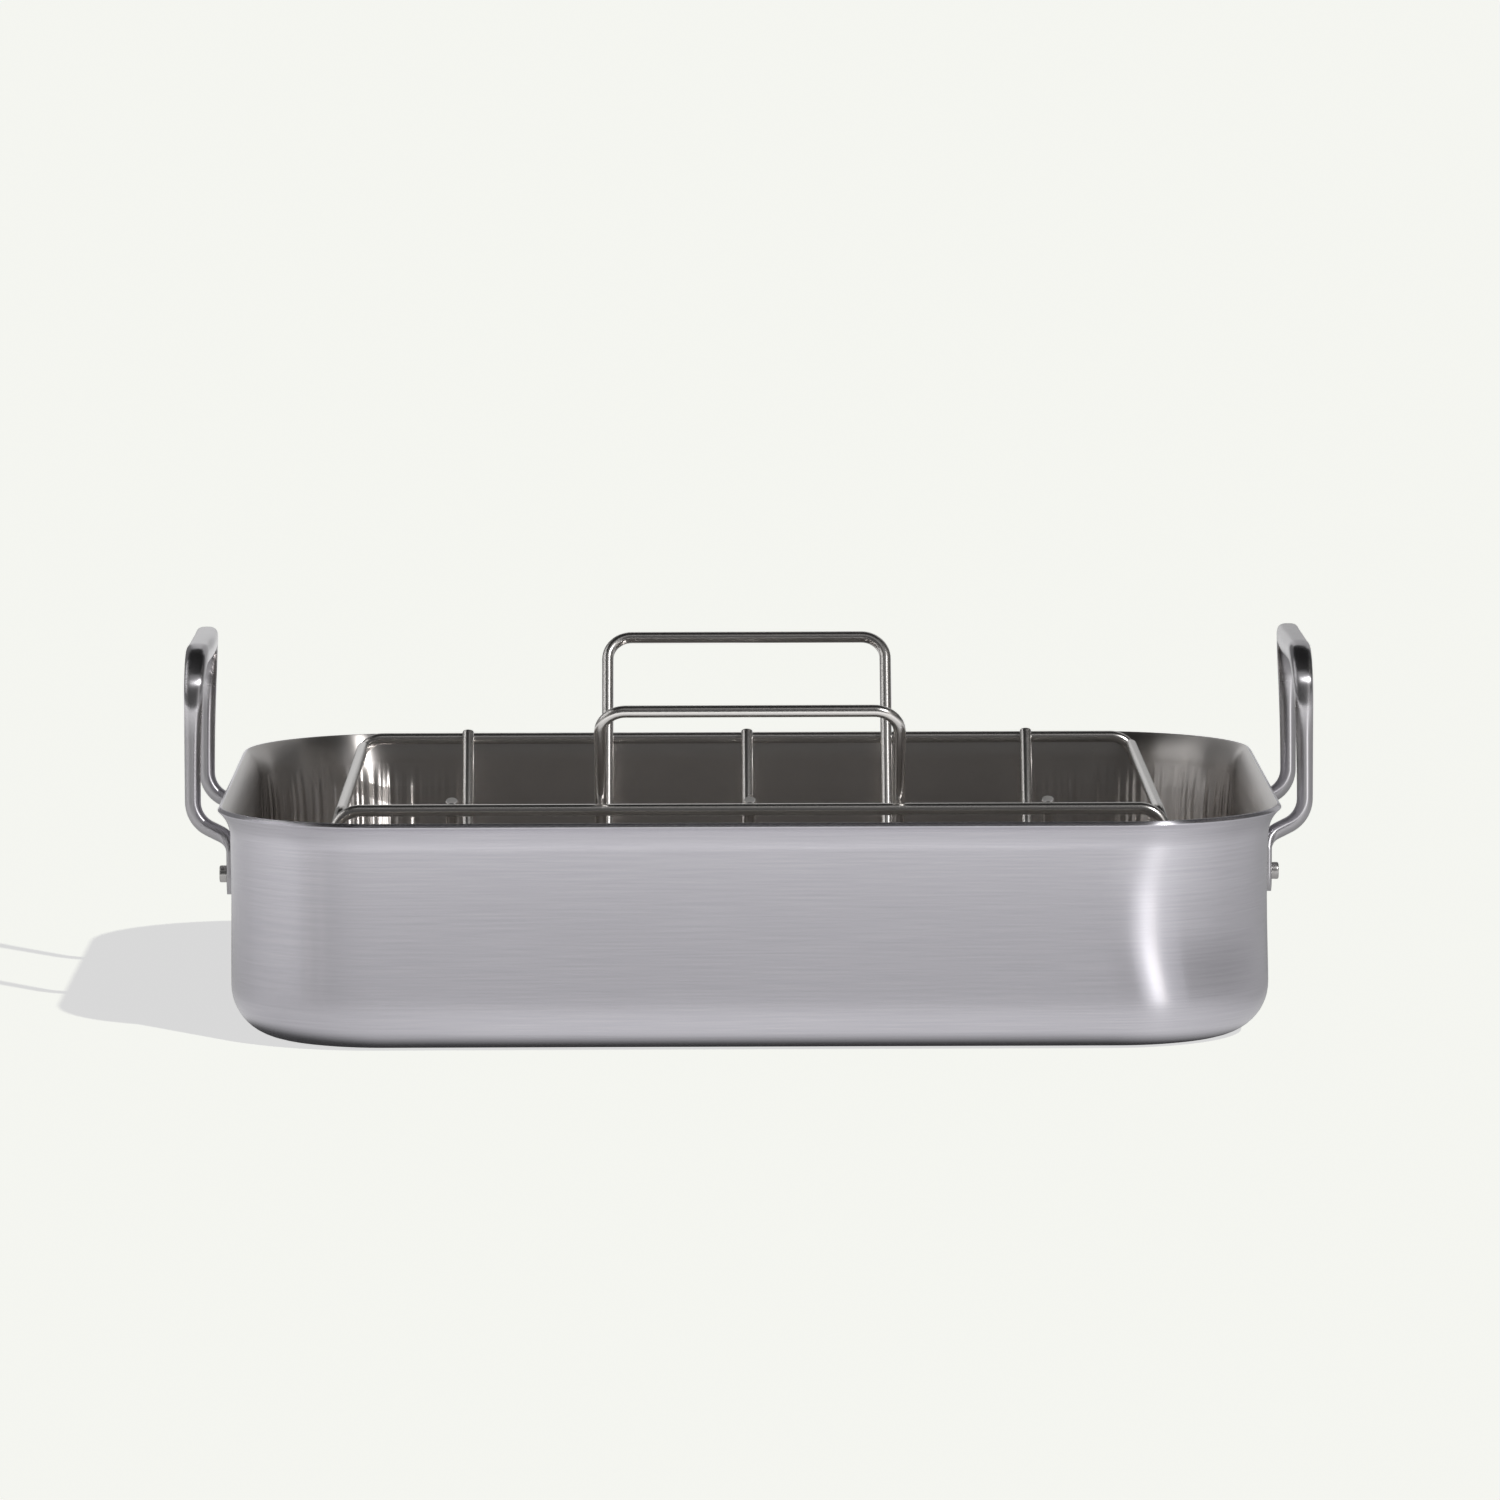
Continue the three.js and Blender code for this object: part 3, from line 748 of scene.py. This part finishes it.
def falloff(tree):
    """Dark under the pan and pale round it, both with the pan's shade painted on, and further out as dark or
    pale as the room on that heading.
    """
    near_end, far_start = 1, 1.15  # metres from the pan's middle
    near_shades = ((-180, 0.42), (-110, 0.53), (-85, 0.64), (-68, 0.76), (-62, 0.76), (-55, 0.73),
                   (-40, 0.87), (-30, 0.95), (15, 0.95), (50, 0.9), (75, 0.6), (120, 0.35), (150, 0.24),
                   (180, 0.2))
    far_shades = ((-180, 0.55), (-150, 0.75), (-52, 0.75), (-42, 0.25), (28, 0.25), (32, 1), (44, 1),
                  (50, 0.4), (140, 0.3), (180, 0.5))
    shade_reach = 600 * mm  # of the pan's painted shade, out from its walls
    # Painted shade of the pan on the stand-in floor: greys by share of the reach out from its walls.
    pan_shades = ((0, 0.56), (0.04, 0.56), (0.1, 0.49), (0.2, 0.56), (0.37, 0.79), (0.67, 0.86), (1, 1))
    painted_shade_shift = (4 * mm, -3 * mm, 0)  # of the painted shade and its dark patch under the pan, towards where the pan's shadow falls
    painted_shade_start, painted_shade_end = 9 * mm, 1 * mm  # inside the walls, where the painted dark patch begins to pale and ends

    def shades_along(share, stops):
        """Greys that change with a share, as (share, grey) stops say."""
        ramp = add(tree, "ValToRGB", Fac=share)
        while len(ramp.color_ramp.elements) < len(stops):
            ramp.color_ramp.elements.new(0.5)
        for stop, (position, value) in zip(ramp.color_ramp.elements, stops):
            stop.position = position
            stop.color = grey(value)
        return ramp.outputs[0]

    place = add(tree, "TexCoord").outputs["Object"]
    apart = add(tree, "SeparateXYZ", Vector=place).outputs
    ahead = add(tree, "Math", {"operation": "MULTIPLY"}, _0=apart["Y"], _1=-1).outputs[0]
    heading = add(tree, "Math", {"operation": "ARCTAN2"}, _0=apart["X"], _1=ahead).outputs[0]
    turn = add(tree, "MapRange", Value=heading, From_Min=-math.pi, From_Max=math.pi).outputs[0]
    near, far = [shades_along(turn, [((degrees + 180) / 360, value) for degrees, value in stops])
                 for stops in (near_shades, far_shades)]
    away = add(tree, "VectorMath", {"operation": "LENGTH"}, _0=place).outputs["Value"]
    share = add(tree, "MapRange", Value=away, From_Min=near_end, From_Max=far_start)
    mixed = add(tree, "MixRGB", Fac=share.outputs[0], Color1=near, Color2=far)
    past = place
    for operation, other in (("ADD", painted_shade_shift), ("ABSOLUTE", (0, 0, 0)), ("SUBTRACT", corner),
                             ("MAXIMUM", (0, 0, 0))):
        past = add(tree, "VectorMath", {"operation": operation}, _0=past, _1=other).outputs[0]
    gone = add(tree, "VectorMath", {"operation": "LENGTH"}, _0=past).outputs["Value"]
    out = add(tree, "MapRange", Value=gone, From_Min=corner_radius, From_Max=corner_radius + shade_reach)
    shade = shades_along(out.outputs[0], pan_shades)
    shaded = add(tree, "MixRGB", {"blend_type": "MULTIPLY"}, Fac=1, Color1=mixed.outputs[0], Color2=shade)
    # Painted shade: a near-black patch under the pan, paling out just inside its walls.
    under = add(tree, "MapRange", Value=gone, From_Min=corner_radius - painted_shade_start,
                From_Max=corner_radius - painted_shade_end)
    shown = add(tree, "MixRGB", Fac=under.outputs[0], Color1=grey(0.035), Color2=shaded.outputs[0])
    return shown.outputs[0]


far_floor = bmesh.new()
bmesh.ops.create_circle(far_floor, cap_ends=True, segments=96, radius=2)
reflector("reflected_floor", far_floor, falloff, 1.5)

# Camera: as in the photograph, a long lens from well back, a little above the rim and looking down on it.
# Its lens is in pixels of the photograph, and its angles are in degrees.
lens_pixels = 9110
picture_pixels = 1500
sensor_width = 36
camera_distance = 3700 * mm
aim = Vector((0.7 * mm, 0, 101.4 * mm))
pitch, yaw, roll = [math.radians(angle) for angle in (6.3, 0.27, 0.155)]
camera_data = bpy.data.cameras.new("camera")
camera_data.sensor_width = sensor_width
camera_data.lens = sensor_width * lens_pixels / picture_pixels
camera_data.clip_end = 2 * floor_size
camera = bpy.data.objects.new("camera", camera_data)
stand = aim + Vector((0, -math.cos(pitch), math.sin(pitch))) * camera_distance
camera.matrix_world = (Matrix.Rotation(-yaw, 4, "Z") @ Matrix.Translation(stand)
                       @ Matrix.Rotation(math.pi / 2 - pitch, 4, "X") @ Matrix.Rotation(-roll, 4, "Z"))
bpy.context.scene.collection.objects.link(camera)
bpy.context.scene.camera = camera
bpy.context.scene.view_settings.view_transform = "Standard"
